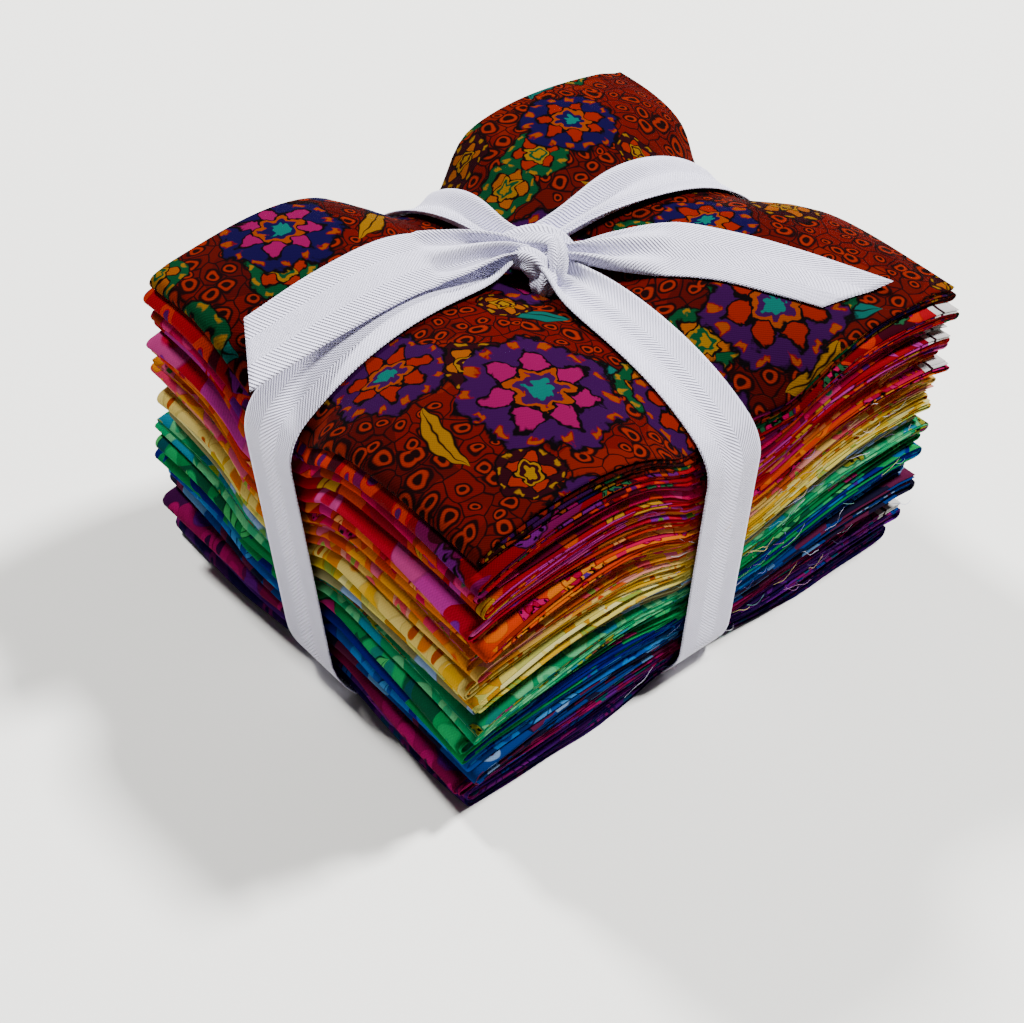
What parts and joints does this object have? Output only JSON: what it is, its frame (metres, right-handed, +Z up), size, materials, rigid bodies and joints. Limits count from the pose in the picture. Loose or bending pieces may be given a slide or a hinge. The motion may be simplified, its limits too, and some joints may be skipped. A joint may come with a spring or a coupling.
{
  "type": "fat quarter bundle",
  "caption": "Stack of folded printed quilting cottons in rainbow order, tied crosswise with a white twill ribbon that is knotted on top and ends in two loose tails.",
  "frame": {"origin": "centre of the bounding box's underside, on the surface that the bundle stands on", "axes": "+Z up, +X along the packets' long side, +Y along their short side, away from the edges with open layers; the outer folds face -X"},
  "size_m": [0.1878, 0.147, 0.111],
  "materials": {
    "cloth_plum_navy": "printed cotton",
    "cloth_violet": "printed cotton",
    "cloth_magenta_purple": "printed cotton",
    "cloth_mosaic_blue": "printed cotton",
    "cloth_river_blue": "printed cotton",
    "cloth_cobalt_green": "printed cotton",
    "cloth_leaf_green": "printed cotton",
    "cloth_sea_green": "printed cotton",
    "cloth_olive_sky": "printed cotton",
    "cloth_lemon": "printed cotton",
    "cloth_gold": "printed cotton",
    "cloth_apricot": "printed cotton",
    "cloth_tangerine": "printed cotton",
    "cloth_coral": "printed cotton",
    "cloth_scarlet": "printed cotton",
    "cloth_rose_pink": "printed cotton",
    "cloth_crimson": "printed cotton",
    "cloth_cherry": "printed cotton",
    "cloth_garnet": "printed cotton",
    "cloth_red_garden": "printed cotton",
    "ribbon": "herringbone twill"
  },
  "bodies": {
    "root": {"quarter_01_plum_navy": "cloth_plum_navy", "quarter_02_violet": "cloth_violet", "quarter_03_magenta_purple": "cloth_magenta_purple", "quarter_04_mosaic_blue": "cloth_mosaic_blue", "quarter_05_river_blue": "cloth_river_blue", "quarter_06_cobalt_green": "cloth_cobalt_green", "quarter_07_leaf_green": "cloth_leaf_green", "quarter_08_sea_green": "cloth_sea_green", "quarter_09_olive_sky": "cloth_olive_sky", "quarter_10_lemon": "cloth_lemon", "quarter_11_gold": "cloth_gold", "quarter_12_apricot": "cloth_apricot", "quarter_13_tangerine": "cloth_tangerine", "quarter_14_coral": "cloth_coral", "quarter_15_scarlet": "cloth_scarlet", "quarter_16_rose_pink": "cloth_rose_pink", "quarter_17_crimson": "cloth_crimson", "quarter_18_cherry": "cloth_cherry", "quarter_19_garnet": "cloth_garnet", "quarter_20_red_garden": "cloth_red_garden", "ribbon_tie": "ribbon"}
  },
  "joints": []
}
